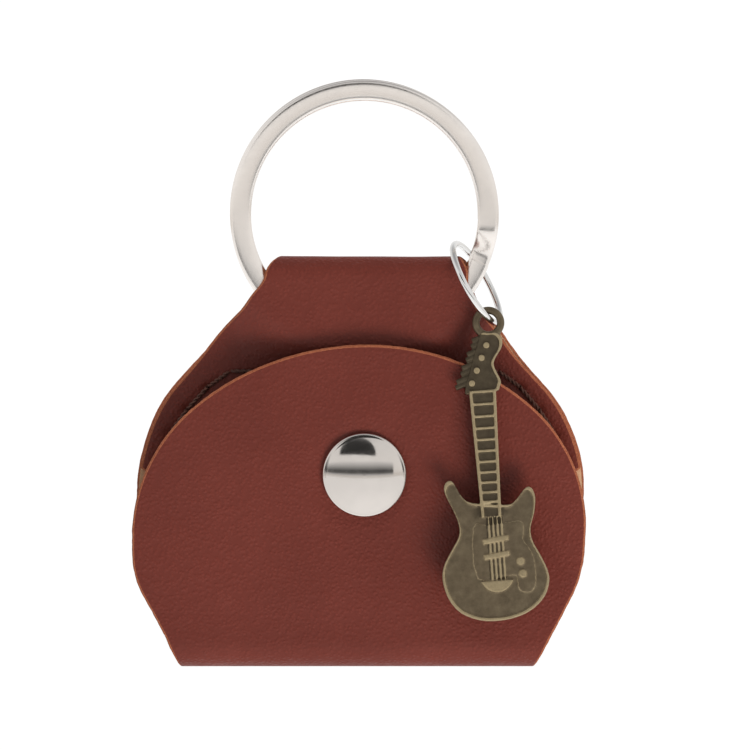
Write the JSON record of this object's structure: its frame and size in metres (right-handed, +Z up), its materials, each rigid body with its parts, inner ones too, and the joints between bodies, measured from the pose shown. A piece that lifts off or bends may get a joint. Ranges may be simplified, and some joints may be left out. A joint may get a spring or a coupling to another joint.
{
  "type": "guitar pick holder",
  "caption": "Folded leather pocket for guitar picks with a snap flap, hung on a split key ring beside a cast guitar charm",
  "frame": {"origin": "centre of the key ring, in the middle of its thickness", "axes": "+Z up as the holder hangs, +X to the right seen from the front, front face with the flap toward -Y"},
  "size_m": [0.054, 0.0137, 0.0701],
  "materials": {
    "leather": "fine pebbled grain, soft sheen, pale raw edges",
    "thread": "waxed brown thread",
    "nickel": "nickel plated, satin on the key ring and polished on the snap",
    "spring_wire": "bright spring wire",
    "antique_bronze": "antiqued bronze, dark in the recesses and worn bright on the rims"
  },
  "bodies": {
    "key_ring": {"key_ring": "nickel"},
    "loop": {"ring_loop": "leather"},
    "holder": {"back_panel": "leather", "pocket_panel": "leather", "needle_thread": "thread", "bobbin_thread": "thread", "snap_stud": "nickel", "stud_eyelet": "nickel"},
    "fold": {"bottom_fold": "leather"},
    "flap": {"front_flap": "leather", "snap_cap": "nickel", "snap_socket": "nickel", "socket_spring": "spring_wire"},
    "jump_ring": {"jump_ring": "nickel"},
    "charm": {"guitar_charm": "antique_bronze"}
  },
  "joints": [
    {"name": "ring_spin", "type": "hinge", "parent": "key_ring", "child": "loop", "pos_m": [0, 0, 0], "axis": [0, 1, 0], "continuous": true},
    {"name": "neck_bend", "type": "hinge", "parent": "loop", "child": "holder", "pos_m": [0, 0.0013, -0.0179], "axis": [1, 0, 0], "range_deg": [0, 35], "stiffness_Nm_per_rad": 0.008},
    {"name": "flap_open", "type": "hinge", "parent": "holder", "child": "fold", "pos_m": [0, 0.00128, -0.05287], "axis": [1, 0, 0], "range_deg": [0, 90], "deforming": ["bottom_fold"]},
    {"name": "flap_unroll", "type": "hinge", "parent": "fold", "child": "flap", "pos_m": [0, -0.00328, -0.05287], "axis": [1, 0, 0], "range_deg": [0, 90], "deforming": ["front_flap", "socket_spring"]},
    {"name": "jump_ring_swing", "type": "hinge", "parent": "loop", "child": "jump_ring", "pos_m": [0.01292, 0, -0.00711], "axis": [-0.4821, 0, -0.8761], "range_deg": [0, 60]},
    {"name": "charm_swing", "type": "hinge", "parent": "jump_ring", "child": "charm", "pos_m": [0.01465, -0.0044, -0.01265], "axis": [0, 0.9914, -0.1305], "range_deg": [-100, 30]}
  ],
  "couplings": [
    {"joint": "flap_unroll", "follows": "flap_open", "ratio": 1}
  ]
}
